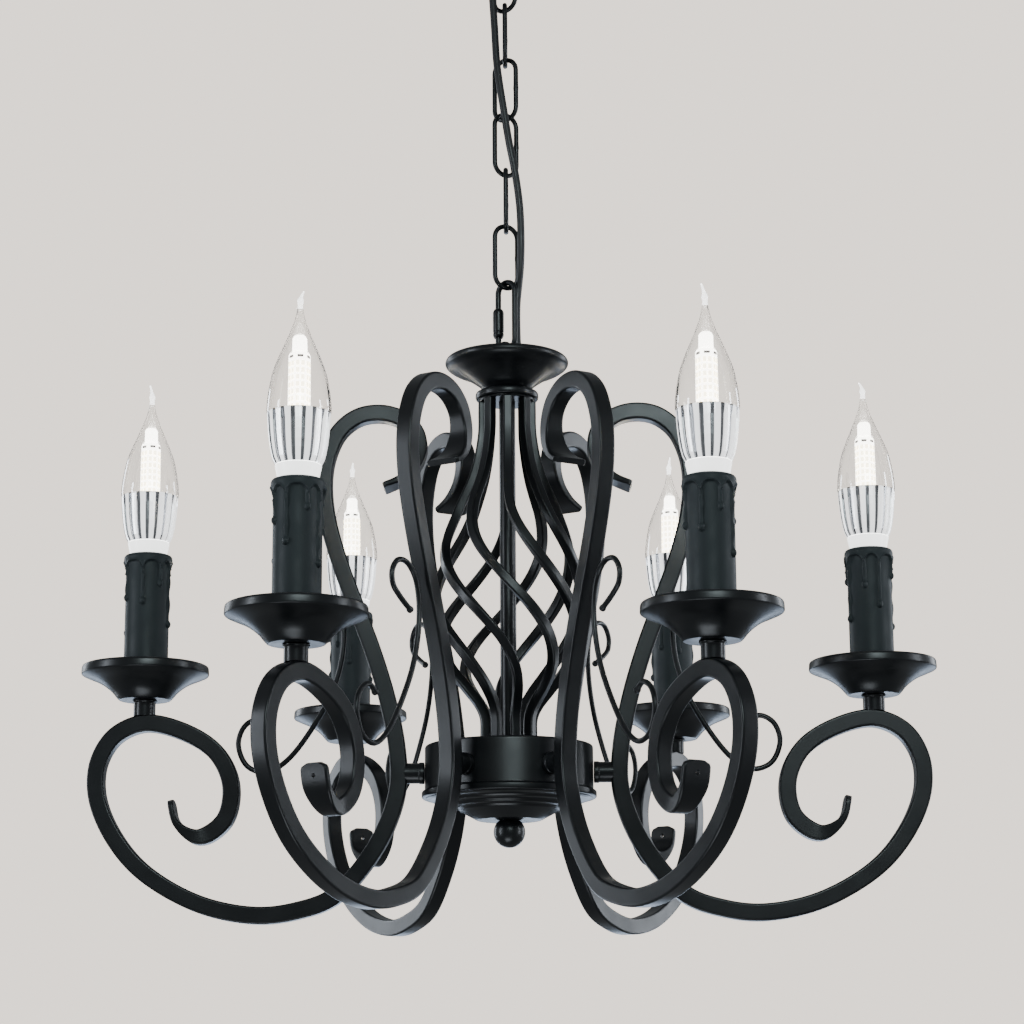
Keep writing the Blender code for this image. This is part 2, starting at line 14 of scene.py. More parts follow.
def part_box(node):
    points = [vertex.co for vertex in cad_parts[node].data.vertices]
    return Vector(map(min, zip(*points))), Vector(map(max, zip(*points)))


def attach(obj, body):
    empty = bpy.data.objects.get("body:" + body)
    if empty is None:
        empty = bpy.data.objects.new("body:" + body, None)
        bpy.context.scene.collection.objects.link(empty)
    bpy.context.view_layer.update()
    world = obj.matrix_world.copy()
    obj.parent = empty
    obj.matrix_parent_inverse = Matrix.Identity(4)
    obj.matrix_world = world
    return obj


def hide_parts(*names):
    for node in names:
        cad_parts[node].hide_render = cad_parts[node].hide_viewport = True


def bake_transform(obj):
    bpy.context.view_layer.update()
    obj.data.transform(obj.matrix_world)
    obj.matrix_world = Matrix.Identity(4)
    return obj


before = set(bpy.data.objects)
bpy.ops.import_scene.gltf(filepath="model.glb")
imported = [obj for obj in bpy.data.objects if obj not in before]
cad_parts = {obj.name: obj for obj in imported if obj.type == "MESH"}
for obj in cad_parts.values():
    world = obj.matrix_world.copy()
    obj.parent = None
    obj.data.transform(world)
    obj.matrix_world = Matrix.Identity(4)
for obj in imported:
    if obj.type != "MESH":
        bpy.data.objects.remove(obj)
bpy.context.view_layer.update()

MM = 0.001
PAN_LIP = 3.5  # the pans' lips stand this far over the rim plane
RIM_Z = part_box("drip_pan_1")[1].z - PAN_LIP * MM
ARM_COUNT = 6


# Sizes read from the frame


def height_of(z):
    return (z - RIM_Z) / MM


def span(node):
    """(lowest, highest) height of a CAD node."""
    low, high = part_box(node)
    return height_of(low.z), height_of(high.z)


def middle(node):
    """The middle of a CAD node: x, y and height."""
    low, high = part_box(node)
    spot = (low + high) / 2
    return spot.x / MM, spot.y / MM, height_of(spot.z)


def half_width(node):
    low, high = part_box(node)
    return (high.x - low.x) / 2 / MM


ARM_REACH = middle("candle_sleeve_1")[0]
BAR_SIZE = 11.0
STEM_RADIUS = 7.0  # of the stem that carries a pan
SPACER_RADIUS = 7.0  # of the tubes between the hub and the arms
PAN_RADIUS = half_width("drip_pan_1")
PAN_BOTTOM = span("drip_pan_1")[0]
PAN_FLOOR = PAN_BOTTOM + 5.0
SLEEVE_RADIUS = half_width("candle_sleeve_1")
SLEEVE_TOP = span("candle_sleeve_1")[1]
HUB_BOTTOM, HUB_TOP = span("hub_drum")
HUB_FLANGE = half_width("hub_drum")
HUB_RADIUS = HUB_FLANGE - 2.0
TUBE_HEIGHT = -67.4
LEG_REACH = 71.5  # of the bars' upper legs, where the tubes meet them
BOWL_BOTTOM, BOWL_TOP = span("top_bowl")
COLLAR_BOTTOM, COLLAR_TOP = span("cage_collar")
COLLAR_RADIUS = half_width("cage_collar")
CAGE_BARS = 8
CAGE_BAR_SIZE = 6.0
CAGE_TWIST = 104.0  # degrees from top to bottom
CAGE_TWIST_TOP = 112.0
CAGE_TWIST_LENGTH = 140.0
CAGE_FIRST_BAR = -88.0  # degrees about Z, at the top
LINK_TURNS = (-30.0, 90.0, -30.0, 30.0, 90.0, 27.0)  # degrees about Z, from the top link down
LINK_WIDTH = 20.0
LINK_WIRE = 3.3
QUICK_TURN = -38.0
QUICK_WIDTH = 18.0
QUICK_WIRE = 4.0
LOOP_WIRE = 4.0
EYE_RADIUS = 10.0
CANOPY_RING_RADIUS = 12.0
CORD_RADIUS = 2.5
CORD_SEAM = 470.0

ARM_LINE = (
    (81, 120.5), (69.5, 126), (61, 134.5), (57.5, 146.5), (60.5, 158.5), (69.5, 167), (82.5, 171),
    (97.5, 169), (110, 159.5), (117.5, 144), (120.3, 126), (118, 101), (109, 69), (97, 37), (87, 10),
    (78, -20), (72, -50), (71, -75), (77, -98), (90, -122), (112, -146), (135, -154.5),
    (160, -157.3), (193, -151.3), (222.5, -137), (242, -121), (258, -97.5), (264.5, -77),
    (263, -58), (253, -42), (234, -34), (206, -41), (187, -54.5), (178, -75), (182, -97),
    (198, -107.5), (212, -99), (216.5, -84),
)
SCROLL_LINE = (
    (153, -36.7), (161, -31.5), (170, -36), (174, -48), (168, -62), (156, -66), (142, -58),
    (119, -25), (111, -6), (107, 14), (107.5, 30), (112, 42), (121, 49), (131, 48.5), (137, 41),
    (136, 33), (129, 27), (115, 19),
)
# How far the cage's bars stand from the axis: (height, distance)
CAGE_SWELL = (
    (175, 16), (155, 16.5), (130, 21.5), (105, 32), (75, 43), (45, 47), (20, 45), (0, 37),
    (-14, 27), (-24, 19.5), (-32, 16), (-46, 15.5),
)
# Route of the power cord: (x, y, height), from the bowl up to the terminal block
CORD_LINE = (
    (9.2, 2.0, 187), (9.2, 2.0, 194), (8.6, 1.6, 203), (7.4, 0.9, 214), (6.8, 0.6, 230),
    (7.0, 0.6, 247), (8.0, 0.2, 257), (9.3, -2.4, 269), (9.9, -3.9, 281), (10.0, -4.6, 294),
    (9.3, -5.4, 313), (6.6, -6.6, 335), (2.4, -7.4, 358), (-1.0, -7.4, 381), (-3.6, -6.6, 399),
    (-5.6, -5.4, 416), (-7.2, -3.6, 446), (-8.8, -2.4, 470), (-10.8, -2.4, 487),
    (-14.4, -1.6, 502), (-17.4, -0.3, 515), (-18.0, 0.0, 524), (-18.0, 0.0, 532),
    (-18.0, 0.0, 542),
)


# Mesh building blocks


def point_at(x, y, height):
    """The frame's point, in metres, for millimetres and a height over the rim plane."""
    return Vector((x * MM, y * MM, RIM_Z + height * MM))


def around(count):
    return [2 * pi * i / count for i in range(count)]


def ring_at(radius, height, sides):
    return [(radius * cos(a), radius * sin(a), height) for a in around(sides)]


def ease(share):
    """0 to 1 with a soft start and end."""
    share = min(max(share, 0.0), 1.0)
    return share * share * (3 - 2 * share)


def mesh_from_rings(rings, loop=False):
    """A skin over rings of points in millimetres. A ring of one point is a pole."""
    skin = bmesh.new()
    rows = [[skin.verts.new(Vector(point) * MM) for point in ring] for ring in rings]
    pairs = list(zip(rows, rows[1:]))
    if loop:
        pairs.append((rows[-1], rows[0]))
    for near, far in pairs:
        count = max(len(near), len(far))
        for i in range(count):
            j = (i + 1) % count
            corners = [near[i % len(near)], near[j % len(near)], far[j % len(far)], far[i % len(far)]]
            skin.faces.new(list(dict.fromkeys(corners)))
    if not loop:
        for end in (rows[0], rows[-1]):
            if len(end) > 2:
                skin.faces.new(end)
    bmesh.ops.recalc_face_normals(skin, faces=skin.faces)
    mesh = bpy.data.meshes.new("skin")
    skin.to_mesh(mesh)
    skin.free()
    return mesh


def joined(*meshes):
    """One mesh that holds all the given ones, each with its own material."""
    skin = bmesh.new()
    slots = []
    for mesh in meshes:
        first = len(skin.faces)
        skin.from_mesh(mesh)
        skin.faces.ensure_lookup_table()
        for face in skin.faces[first:]:
            face.material_index += len(slots)
        slots.extend(mesh.materials or [None])
    result = bpy.data.meshes.new("joined")
    skin.to_mesh(result)
    skin.free()
    for material in slots:
        result.materials.append(material)
    return result


def painted(mesh, material):
    """The mesh, with that material and smooth shading except on its hard edges."""
    mesh.materials.append(material)
    mesh.shade_smooth()
    mesh.set_sharp_from_angle(angle=radians(38))
    return mesh


def rounded(corners, steps=4):
    """A line through corners of (distance, height, radius), each corner turned into an arc."""
    line = []
    last = len(corners) - 1
    for i, (*spot, radius) in enumerate(corners):
        here = Vector(spot)
        if radius == 0 or i in (0, last):
            line.append(here)
            continue
        before = Vector(corners[i - 1][:2]) - here
        after = Vector(corners[i + 1][:2]) - here
        start = here + before.normalized() * min(radius, before.length * 0.48)
        end = here + after.normalized() * min(radius, after.length * 0.48)
        for k in range(steps + 1):
            t = k / steps
            line.append((1 - t) ** 2 * start + 2 * t * (1 - t) * here + t * t * end)
    return line


def turned(outline, sides=72):
    """A turned piece. An outline that starts on the axis is solid, any other is a closed section."""
    on_axis = 1e-6
    rings = []
    for radius, height in outline:
        rings.append(ring_at(radius, height, sides) if radius > on_axis else [(0, 0, height)])
    return mesh_from_rings(rings, loop=outline[0][0] > on_axis)


def smooth_line(points, steps):
    """Points along a smooth curve through the given ones, with steps per stretch."""
    knots = [Vector(point) for point in points]
    knots = [2 * knots[0] - knots[1], *knots, 2 * knots[-1] - knots[-2]]
    line = []
    for a, b, c, d in zip(knots, knots[1:], knots[2:], knots[3:]):
        first = (b - a).length ** 0.5
        middle_step = (c - b).length ** 0.5
        last = (d - c).length ** 0.5
        leave = (c - b) + middle_step * ((b - a) / first - (c - a) / (first + middle_step))
        arrive = (c - b) + middle_step * ((d - c) / last - (d - b) / (middle_step + last))
        for i in range(steps):
            t = i / steps
            line.append(
                (2 * t**3 - 3 * t**2 + 1) * b
                + (t**3 - 2 * t**2 + t) * leave
                + (3 * t**2 - 2 * t**3) * c
                + (t**3 - t**2) * arrive
            )
    line.append(knots[-2])
    return line


def directions(line):
    before = [line[0], *line[:-1]]
    after = [*line[1:], line[-1]]
    return [(b - a).normalized() for a, b in zip(before, after)]


def distances(line):
    """How far along the line each of its points is."""
    found = [0.0]
    for a, b in zip(line, line[1:]):
        found.append(found[-1] + (b - a).length)
    return found


def bar_section(half_a, half_b, corner, steps=3):
    """A rounded rectangle as (a, b) offsets from its middle.

    A point on the flat beside each end of a corner's arc keeps the smooth shading off the flats.
    """
    corner = min(corner, half_a * 0.95, half_b * 0.95)
    flat_a = half_a - corner
    flat_b = half_b - corner
    beside_a = min(0.3, 0.3 * flat_a)
    beside_b = min(0.3, 0.3 * flat_b)
    section = []
    for quarter in range(4):
        sign_a = 1 if quarter in (0, 3) else -1
        sign_b = 1 if quarter in (0, 1) else -1
        arc = []
        for k in range(steps + 1):
            angle = (quarter + k / steps) * pi / 2
            arc.append((sign_a * flat_a + corner * cos(angle), sign_b * flat_b + corner * sin(angle)))
        along_a = [(a - sign_a * beside_a, b) for a, b in (arc[0], arc[-1])]
        along_b = [(a, b - sign_b * beside_b) for a, b in (arc[0], arc[-1])]
        if quarter in (0, 2):
            section.extend([along_b[0], *arc, along_a[1]])
        else:
            section.extend([along_a[0], *arc, along_b[1]])
    return section


def circle_section(radius, sides):
    return [(radius * cos(a), radius * sin(a)) for a in around(sides)]


def in_plane(line):
    """A line of (distance, height) points as points of the plane y = 0."""
    return [Vector((point[0], 0, point[1])) for point in line]


def swept(line, sections, across_hint, loop=False):
    """A bar along a line.

    across_hint gives, for each point, a direction that the section's second offset follows. The
    first offset runs at right angles to it.
    """
    rings = []
    ways = directions(line)
    if loop:
        ways[0] = ways[-1] = (line[1] - line[-1]).normalized()
    for point, along, section, hint in zip(line, ways, sections, across_hint):
        side = (hint - along * hint.dot(along)).normalized()
        out = side.cross(along)
        rings.append([point + out * a + side * b for a, b in section])
    return mesh_from_rings(rings, loop)


def tube(line, radii, sides, loop=False):
    """A round tube with its radius at each point of the line."""
    sections = [circle_section(radius, sides) for radius in radii]
    return swept(line, sections, [Vector((0, 1, 0))] * len(line), loop)


def oval(length, width, wire, steps, bulge=0.0):
    """A closed oval of round wire in the plane y = 0, with a weld on one leg if it has a bulge."""
    radius = (width - wire) / 2
    straight = (length - width) / 2
    leg_steps = 12
    weld_half = 1.6
    line = []
    for end in (1, -1):
        for k in range(steps + 1):
            angle = pi * k / steps + (0 if end == 1 else pi)
            line.append(Vector((radius * cos(angle), 0, radius * sin(angle) + end * straight)))
        if straight > 0:
            leg = -radius * end
            for k in range(1, leg_steps):
                line.append(Vector((leg, 0, end * straight * (1 - 2 * k / leg_steps))))
    radii = []
    for point in line:
        near_weld = exp(-((point.z / weld_half) ** 2)) if point.x > 0 else 0.0
        radii.append(wire / 2 + bulge * near_weld)
    if straight == 0:
        # the two half circles meet, so each one's last point would be doubled
        line = [p for i, p in enumerate(line) if i not in (steps, 2 * steps + 1)]
        radii = radii[: len(line)]
    return tube(line, radii, 14, loop=True)


def cut(mesh, *cutters):
    """The mesh with the cutters taken away."""
    helpers = []
    for shape in (mesh, *cutters):
        helper = bpy.data.objects.new("helper", shape)
        bpy.context.scene.collection.objects.link(helper)
        helpers.append(helper)
    for cutter in helpers[1:]:
        boolean = helpers[0].modifiers.new("cut", "BOOLEAN")
        boolean.operation = "DIFFERENCE"
        boolean.object = cutter
    graph = bpy.context.evaluated_depsgraph_get()
    result = bpy.data.meshes.new_from_object(helpers[0].evaluated_get(graph))
    for helper in helpers:
        bpy.data.objects.remove(helper)
    return result


def moved(mesh, x=0.0, height=0.0):
    """The mesh, moved by millimetres."""
    mesh.transform(Matrix.Translation(Vector((x, 0, height)) * MM))
    return mesh


def add_piece(name, mesh, body, replaced=(), spot=(0, 0, 0), turn=0.0):
    """Shows a mesh at a spot (x, y and height) on a CAD body, in place of CAD nodes."""
    piece = bpy.data.objects.new(name, mesh)
    piece.location = point_at(*spot)
    piece.rotation_euler.z = radians(turn)
    bpy.context.scene.collection.objects.link(piece)
    if replaced:
        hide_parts(*replaced)
    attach(piece, body)


# Materials


class Paint:
    """A procedural material: its nodes are added to one Principled shader."""

    def __init__(self, name, colour, roughness, **inputs):
        self.material = bpy.data.materials.new(name)
        self.material.use_nodes = True
        self.tree = self.material.node_tree
        self.shader = self.tree.nodes["Principled BSDF"]
        self.colour = colour
        self.shader.inputs["Base Color"].default_value = (*colour, 1)
        self.shader.inputs["Roughness"].default_value = roughness
        for label, value in inputs.items():
            self.shader.inputs[label.replace("_", " ")].default_value = value
        self.place = self.tree.nodes.new("ShaderNodeTexCoord").outputs["Object"]

    def glow(self, colour, strength):
        """Light of its own."""
        self.shader.inputs["Emission Color"].default_value = (*colour, 1)
        self.shader.inputs["Emission Strength"].default_value = strength
        return self

    def noise(self, scale, detail=3.0):
        node = self.tree.nodes.new("ShaderNodeTexNoise")
        node.inputs["Scale"].default_value = scale
        node.inputs["Detail"].default_value = detail
        self.tree.links.new(self.place, node.inputs["Vector"])
        return node.outputs["Fac"]

    def mottle(self, other, scale):
        """Patches that shade from the main colour to another one."""
        mix = self.tree.nodes.new("ShaderNodeMix")
        mix.data_type = "RGBA"
        mix.inputs[6].default_value = (*self.colour, 1)
        mix.inputs[7].default_value = (*other, 1)
        self.tree.links.new(self.noise(scale), mix.inputs["Factor"])
        self.tree.links.new(mix.outputs[2], self.shader.inputs["Base Color"])
        return self

    def gloss(self, low, high, scale):
        """Roughness that wanders between two values."""
        spread = self.tree.nodes.new("ShaderNodeMapRange")
        spread.inputs["From Min"].default_value = 0.3
        spread.inputs["From Max"].default_value = 0.7
        spread.inputs["To Min"].default_value = low
        spread.inputs["To Max"].default_value = high
        self.tree.links.new(self.noise(scale), spread.inputs["Value"])
        self.tree.links.new(spread.outputs["Result"], self.shader.inputs["Roughness"])
        return self

    def bump(self, scale, depth):
        """Relief of a depth in millimetres."""
        node = self.tree.nodes.new("ShaderNodeBump")
        node.inputs["Strength"].default_value = 1.0
        node.inputs["Distance"].default_value = depth * MM
        self.tree.links.new(self.noise(scale, detail=2.0), node.inputs["Height"])
        self.tree.links.new(node.outputs["Normal"], self.shader.inputs["Normal"])
        return self


def iron_paint():
    """Satin black powder coat: a fine orange-peel relief with a slight cool sheen."""
    paint = Paint("iron_paint", (0.003, 0.0035, 0.0042), 0.34, Specular_IOR_Level=0.4)
    return paint.mottle((0.006, 0.007, 0.0082), 30).gloss(0.28, 0.37, 55).bump(700, 0.008).material


def wax_paint():
    """Matt dark grey of the moulded candle sleeves."""
    paint = Paint("wax_paint", (0.018, 0.024, 0.026), 0.6, Specular_IOR_Level=0.28)
    return paint.mottle((0.024, 0.031, 0.033), 60).gloss(0.46, 0.6, 90).bump(500, 0.015).material


def cord_vinyl():
    paint = Paint("cord_vinyl", (0.012, 0.012, 0.013), 0.42)
    return paint.mottle((0.018, 0.018, 0.019), 80).gloss(0.36, 0.5, 120).bump(1200, 0.012).material


def bulb_clear_glass():
    """Clear glass, with a coat that strengthens its reflections."""
    paint = Paint(
        "bulb_clear_glass", (0.99, 0.99, 0.985), 0.0, Transmission_Weight=1.0, IOR=1.45,
        Coat_Weight=1.0, Coat_IOR=1.9, Coat_Roughness=0.04,
    )
    return paint.gloss(0.0, 0.012, 40).material


def bulb_tip_glass():
    """The solid tip of the flame, with a painted glow that makes it bright white."""
    paint = Paint("bulb_tip_glass", (0.99, 0.99, 0.985), 0.05, Transmission_Weight=0.6)
    return paint.glow((1.0, 1.0, 1.0), 1.1).gloss(0.0, 0.08, 60).material


def led_white():
    """The white board of the light stick, lit from inside."""
    paint = Paint("led_white", (0.95, 0.94, 0.9), 0.4)
    return paint.glow((1.0, 0.97, 0.9), 9.0).mottle((0.85, 0.83, 0.78), 300).material


def led_phosphor():
    """The yellow chips on the stick."""
    paint = Paint("led_phosphor", (0.95, 0.8, 0.42), 0.35)
    return paint.glow((1.0, 0.93, 0.74), 6.5).mottle((0.9, 0.66, 0.2), 900).material


def ceramic_white():
    """The white ring, with a painted glow that makes it look lit through from inside."""
    paint = Paint("ceramic_white", (0.86, 0.86, 0.84), 0.3).glow((1.0, 1.0, 0.98), 2.2)
    return paint.mottle((0.8, 0.8, 0.78), 120).gloss(0.24, 0.36, 100).material


def aluminium_painted_glow():
    """The cone's flutes, with a glow that is a painted reflection: it makes them shine bright white."""
    paint = Paint("aluminium_painted_glow", (0.95, 0.95, 0.95), 0.3, Metallic=0.7)
    paint.glow((1.0, 1.0, 1.0), 1.5)
    return paint.mottle((0.86, 0.87, 0.88), 200).gloss(0.24, 0.36, 150).material


def groove_aluminium_painted_shade():
    # The cone's sunken grooves: a dark grey metal, painted shade in the recesses between the flutes.
    paint = Paint("groove_aluminium_painted_shade", (0.3, 0.3, 0.31), 0.3, Metallic=1.0)
    return paint.mottle((0.42, 0.42, 0.43), 260).gloss(0.24, 0.36, 150).material


def nickel_thread():
    paint = Paint("nickel_thread", (0.72, 0.69, 0.62), 0.25, Metallic=1.0)
    return paint.mottle((0.6, 0.57, 0.5), 250).gloss(0.2, 0.36, 300).material


def zinc_plate():
    paint = Paint("zinc_plate", (0.55, 0.55, 0.53), 0.35, Metallic=1.0)
    return paint.mottle((0.42, 0.42, 0.41), 140).gloss(0.28, 0.48, 90).bump(400, 0.02).material


def holder_plastic():
    paint = Paint("holder_plastic", (0.8, 0.78, 0.73), 0.42)
    return paint.mottle((0.74, 0.72, 0.67), 60).gloss(0.36, 0.5, 80).bump(600, 0.02).material


def grommet_rubber():
    paint = Paint("grommet_rubber", (0.013, 0.013, 0.013), 0.7)
    return paint.mottle((0.022, 0.022, 0.022), 150).gloss(0.62, 0.8, 150).bump(700, 0.03).material


def floor_paint():
    """As pale as the wall of light behind the object, so it glows a little."""
    paint = Paint("floor_paint", (0.62, 0.6, 0.57), 0.9).glow((0.76, 0.71, 0.65), 1.5)
    return paint.mottle((0.6, 0.58, 0.55), 1.5).bump(60, 0.15).material


# Camera, cord and room


def add_camera():
    """In front of the chandelier and a little under it, looking up."""
    distance = 1.5698
    height = -261.0
    pitch = radians(11.90)
    roll = radians(-0.344)
    side = radians(0.647)  # turned about the chandelier's axis
    aim = radians(-0.55)
    data = bpy.data.cameras.new("camera")
    data.sensor_width = 36.0
    data.lens = 86.46
    data.shift_y = 0.05
    camera = bpy.data.objects.new("camera", data)
    camera.location = (distance * sin(side), -distance * cos(side), RIM_Z + height * MM)
    ahead = Vector((sin(aim) * cos(pitch), cos(aim) * cos(pitch), sin(pitch)))
    level = Vector((cos(aim), -sin(aim), 0))
    right = level * cos(roll) + level.cross(ahead) * sin(roll)
    camera.rotation_euler = Matrix((right, right.cross(ahead), -ahead)).transposed().to_euler()
    bpy.context.scene.collection.objects.link(camera)
    bpy.context.scene.camera = camera


def add_cord(vinyl):
    """One power cord in two stretches, each shown in place of one CAD node."""
    line = smooth_line(CORD_LINE, 6)
    seam = min(range(len(line)), key=lambda i: abs(line[i].z - CORD_SEAM))
    stretches = (
        ("power_cord_lower", "power_cord", line[: seam + 1], ("chain", 262.0, "fixture", 196.0)),
        ("power_cord_upper", "power_cord_top", line[seam:], ("chain", 476.0, "ceiling_end", 516.0)),
    )
    for name, node, stretch, (first, start, last, end) in stretches:
        mesh = painted(tube(stretch, [CORD_RADIUS] * len(stretch), 20), vinyl)
        piece = bpy.data.objects.new(name, mesh)
        piece.location = point_at(0, 0, 0)
        bpy.context.scene.collection.objects.link(piece)
        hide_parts(node)
        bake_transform(piece)


# (name, x, y and height over the rim plane in metres, width and height, power, colour)
LIGHTS = (
    ("window_left", (-2.3, -0.9, 0.1), (0.3, 1.7), 25, (0.84, 0.91, 1.0)),
    ("window_right", (2.3, -0.4, 0.2), (0.25, 1.6), 19, (0.86, 0.92, 1.0)),
    ("front", (0.3, -2.6, 1.0), (1.0, 0.6), 24, (0.82, 0.98, 1.0)),
    ("behind_left", (-1.7, 1.5, 0.2), (0.4, 1.6), 15, (0.84, 0.91, 1.0)),
    ("behind_right", (1.8, 1.4, 0.2), (0.4, 1.6), 14, (0.86, 0.92, 1.0)),
    ("behind_low", (0, 2.3, -0.65), (3.0, 0.4), 18, (0.64, 0.78, 1.0)),
    ("below", (-0.3, -0.9, -1.9), (1.2, 0.8), 14, (0.86, 0.93, 1.0)),
)


def add_light(name, spot, size, power, colour):
    """A soft panel that faces the middle of the rim plane, hidden from the camera and in glass."""
    data = bpy.data.lights.new(name, "AREA")
    data.shape = "RECTANGLE"
    data.size, data.size_y = size
    data.energy = power
    data.color = colour
    light = bpy.data.objects.new(name, data)
    light.visible_camera = False
    light.visible_transmission = False
    centre = Vector((0, 0, RIM_Z))
    light.location = centre + Vector(spot)
    light.rotation_euler = (centre - light.location).to_track_quat("-Z", "Y").to_euler()
    bpy.context.scene.collection.objects.link(light)


def add_room():
    """A pale floor under the object, a pale sky of light and soft panels."""
    floor_z = -2.4
    reach = 30.0
    skin = bmesh.new()
    square = ((-1, -1), (1, -1), (1, 1), (-1, 1))
    skin.faces.new([skin.verts.new((x * reach, y * reach, floor_z)) for x, y in square])
    mesh = bpy.data.meshes.new("floor")
    skin.to_mesh(mesh)
    skin.free()
    floor = bpy.data.objects.new("floor", mesh)
    mesh.materials.append(floor_paint())
    floor.visible_glossy = False
    floor.visible_diffuse = False
    bpy.context.scene.collection.objects.link(floor)

    world = bpy.data.worlds.new("room")
    bpy.context.scene.world = world
    world.use_nodes = True
    tree = world.node_tree
    wall = tree.nodes["Background"]
    wall.inputs["Color"].default_value = (0.77, 0.70, 0.625, 1)
    wall.inputs["Strength"].default_value = 2.3
    # what lights the object and shows in its gloss is dimmer and cooler than the wall behind it
    sky = tree.nodes.new("ShaderNodeBackground")
    sky.inputs["Color"].default_value = (0.5, 0.535, 0.56, 1)
    sky.inputs["Strength"].default_value = 0.45
    seen = tree.nodes.new("ShaderNodeLightPath")
    shown = sky
    for ray in ("Is Camera Ray", "Is Transmission Ray"):
        mix = tree.nodes.new("ShaderNodeMixShader")
        tree.links.new(seen.outputs[ray], mix.inputs["Fac"])
        tree.links.new(shown.outputs[0], mix.inputs[1])
        tree.links.new(wall.outputs["Background"], mix.inputs[2])
        shown = mix
    tree.links.new(shown.outputs[0], tree.nodes["World Output"].inputs["Surface"])

    for light in LIGHTS:
        add_light(*light)


# Ceiling end


def add_ceiling_end(paint, zinc, plastic, rubber, nickel):
    for kept in ("mounting_bracket", "canopy_lock_nut"):
        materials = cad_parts[kept].data.materials
        materials.clear()
        materials.append(zinc)

    low, high = span("ceiling_canopy")
    radius = half_width("ceiling_canopy")
    wall = 1.6
    outline = rounded(
        (
            (5.3, low, 0), (27, low, 5), (41, low + 4.7, 6), (51, low + 14.7, 9),
            (radius, high - 5, 6), (radius, high, 0.7), (radius - wall, high, 0.7),
            (radius - wall, high - 5, 5), (51 - wall, low + 15.5, 8), (40.2, low + 6.3, 5),
            (27, low + wall, 4), (5.3, low + wall, 0),
        ),
        5,
    )
    shell = painted(turned(outline, 96), paint)
    add_piece("canopy_shell", shell, "ceiling_end", ["ceiling_canopy"])

    loop_low, loop_high = span("canopy_loop")
    collar_low = loop_high - 12
    bore_low = loop_high - 9
    collar = turned(
        rounded(
            (
                (0, collar_low, 0), (6.6, collar_low, 1), (7.4, collar_low + 1.6, 1),
                (7.4, collar_low + 4, 1), (8.5, collar_low + 5.5, 1), (8.5, loop_high, 0.8),
                (5.3, loop_high, 0), (5.3, bore_low, 0), (0, bore_low, 0),
            )
        ),
        40,
    )
    ring = oval(2 * CANOPY_RING_RADIUS, 2 * CANOPY_RING_RADIUS, LOOP_WIRE, 20)
    moved(ring, height=loop_low + CANOPY_RING_RADIUS)
    hook = joined(painted(collar, paint), painted(ring, paint))
    add_piece("canopy_hook", hook, "ceiling_end", ["canopy_loop"], turn=QUICK_TURN + 90)

    x, y, _ = middle("cord_grommet")
    low, high = span("cord_grommet")
    bore = CORD_RADIUS + 0.05
    grommet = turned(
        rounded(
            (
                (bore, low, 0), (5.6, low, 1), (5.6, low + 1.7, 0.4), (4.1, low + 1.7, 0.2),
                (4.1, high - 1.7, 0.2), (5.6, high - 1.7, 0.4), (5.6, high, 1), (bore, high, 0),
            )
        ),
        40,
    )
    painted(grommet, rubber)
    add_piece("grommet_ring", grommet, "ceiling_end", ["cord_grommet"], (x, y, 0))

    x, y, height = middle("terminal_block")
    low, high = span("terminal_block")
    half_depth = 8.0
    upright = Matrix.Rotation(pi / 2, 4, "X")
    parts = []
    for side in (-5.5, 5.5):
        section = bar_section(5.2, half_depth, 1.2)
        body = [[Vector((side + a, b, h)) for a, b in section] for h in (low, high)]
        parts.append(painted(mesh_from_rings(body), plastic))
        screw = turned(rounded(((0, -1, 0), (1.7, -1, 0), (1.7, 0.8, 0.5), (0, 1.1, 0))), 20)
        screw.transform(Matrix.Translation(Vector((side, -half_depth, height)) * MM) @ upright)
        parts.append(painted(screw, nickel))
    bridge = [[Vector((a, b, h)) for a, b in bar_section(3, 5.5, 0.5)] for h in (low + 1, high - 1)]
    parts.append(painted(mesh_from_rings(bridge), plastic))
    add_piece("terminals", joined(*parts), "ceiling_end", ["terminal_block"], (x, y, 0))


# Chain and quick link


def add_chain(paint):
    low, high = span("chain_link_1")
    link = painted(oval(high - low, LINK_WIDTH, LINK_WIRE, 14, bulge=0.22), paint)
    for i, turn in enumerate(LINK_TURNS):
        node = f"chain_link_{i + 1}"
        add_piece(f"link_{i + 1}", link, "chain", [node], (0, 0, middle(node)[2]), turn)


def add_quick_link(paint):
    low, high = span("quick_link")
    height = (low + high) / 2
    leg = (QUICK_WIDTH - QUICK_WIRE) / 2
    gap = (1.8, 5.8)
    thread_low = -14.5
    thread_steps = 33
    half_pitch = 0.5
    saw = mesh_from_rings([[(-leg + a, b, h) for a, b in circle_section(3.2, 16)] for h in gap])
    # the legs' oval without its gap, and the thread that shows where the nut has left it
    wire = painted(cut(oval(high - low, QUICK_WIDTH, QUICK_WIRE, 16), saw), paint)
    thread = []
    for k in range(thread_steps):
        h = thread_low + k * half_pitch
        ridge = QUICK_WIRE / 2 + (0.12 if k % 2 else -0.02)
        thread.append([(-leg + a, b, h) for a, b in circle_section(ridge, 20)])
    oval_link = joined(wire, painted(mesh_from_rings(thread), paint))
    spot = (0, 0, height)
    add_piece("quick_oval", oval_link, "chain", ["quick_link"], spot, QUICK_TURN)

    low, high = span("quick_link_nut")
    half = (high - low) / 2
    bore = QUICK_WIRE / 2 + 0.15
    outline = rounded(
        (
            (bore + 0.4, -half, 0), (2.8, -half, 0.1), (3.65, -half + 1.8, 0.5),
            (3.65, -half + 3.2, 0.2), (3.4, -half + 3.5, 0.2), (3.4, -half + 4.1, 0.2),
            (3.7, -half + 4.4, 0.2), (3.7, half - 2, 0.6), (2.7, half, 0.3), (bore, half, 0),
            (bore, -half + 3, 0),
        ),
        3,
    )
    nut = painted(turned(outline, 36), paint)
    spot = middle("quick_link_nut")
    add_piece("quick_sleeve", nut, "quick_nut", ["quick_link_nut"], spot, 20)


# Middle of the fixture


